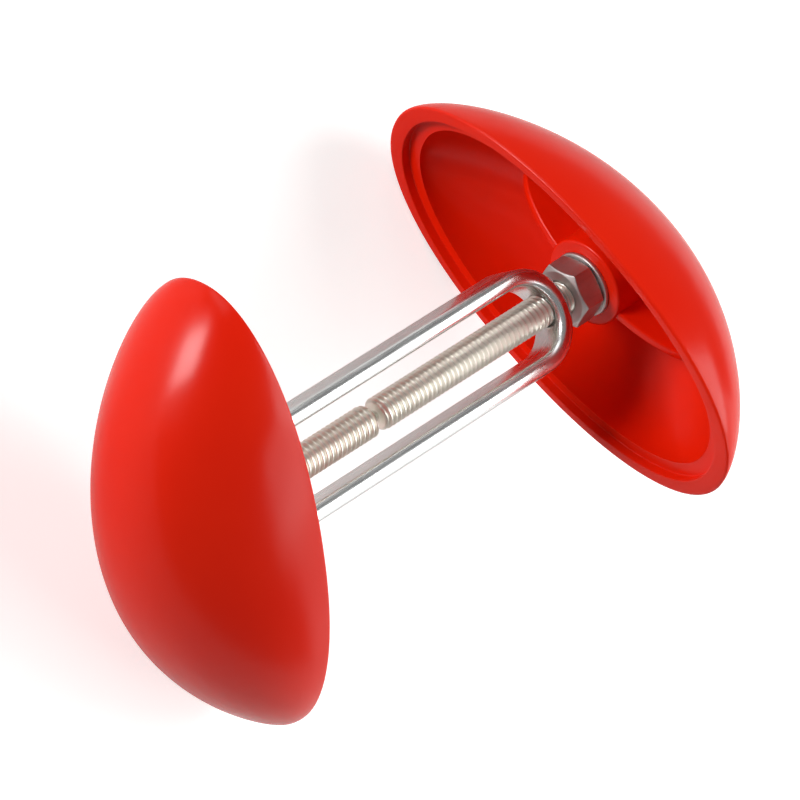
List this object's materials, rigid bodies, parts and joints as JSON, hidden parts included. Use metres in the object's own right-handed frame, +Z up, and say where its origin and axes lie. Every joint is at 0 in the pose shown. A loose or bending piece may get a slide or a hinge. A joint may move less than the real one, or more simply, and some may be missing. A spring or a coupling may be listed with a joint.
{
  "type": "shoe stretcher",
  "caption": "Small turnbuckle shoe stretcher: hollow plastic half shells on left- and right-hand screws that a flat steel ring drives apart to widen a shoe.",
  "frame": {"origin": "middle of the turnbuckle ring, on the screws' common axis, which is also the middle of the overall box", "axes": "+X along the screws towards the right-hand thread, Y across the shoe stretcher in the ring's plane, +Z up, square to the ring's plane"},
  "size_m": [0.084, 0.0524, 0.037],
  "materials": {
    "red_plastic": "gloss",
    "ring_steel": "satin",
    "screw_steel": "satin",
    "fastener_steel": "satin"
  },
  "bodies": {
    "turnbuckle": {"turnbuckle_ring": "ring_steel"},
    "left_carriage": {"left_washer": "fastener_steel"},
    "left_end": {"left_shell": "red_plastic", "left_screw": "screw_steel", "left_nut": "fastener_steel"},
    "right_carriage": {"right_washer": "fastener_steel"},
    "right_end": {"right_shell": "red_plastic", "right_screw": "screw_steel", "right_nut": "fastener_steel"}
  },
  "joints": [
    {"name": "left_travel", "type": "slide", "parent": "turnbuckle", "child": "left_carriage", "axis": [-1, 0, 0], "range_m": [-0.00035, 0.0154]},
    {"name": "left_spin", "type": "hinge", "parent": "left_carriage", "child": "left_end", "pos_m": [-0.0295, 0, 0], "axis": [1, 0, 0], "range_deg": [-180, 7920]},
    {"name": "right_travel", "type": "slide", "parent": "turnbuckle", "child": "right_carriage", "axis": [1, 0, 0], "range_m": [-0.00035, 0.0238]},
    {"name": "right_spin", "type": "hinge", "parent": "right_carriage", "child": "right_end", "pos_m": [0.0295, 0, 0], "axis": [1, 0, 0], "range_deg": [-180, 12240]}
  ],
  "couplings": [
    {"joint": "left_travel", "follows": "left_spin", "m_per_rad": 0.00011141},
    {"joint": "right_travel", "follows": "right_spin", "m_per_rad": 0.00011141}
  ]
}
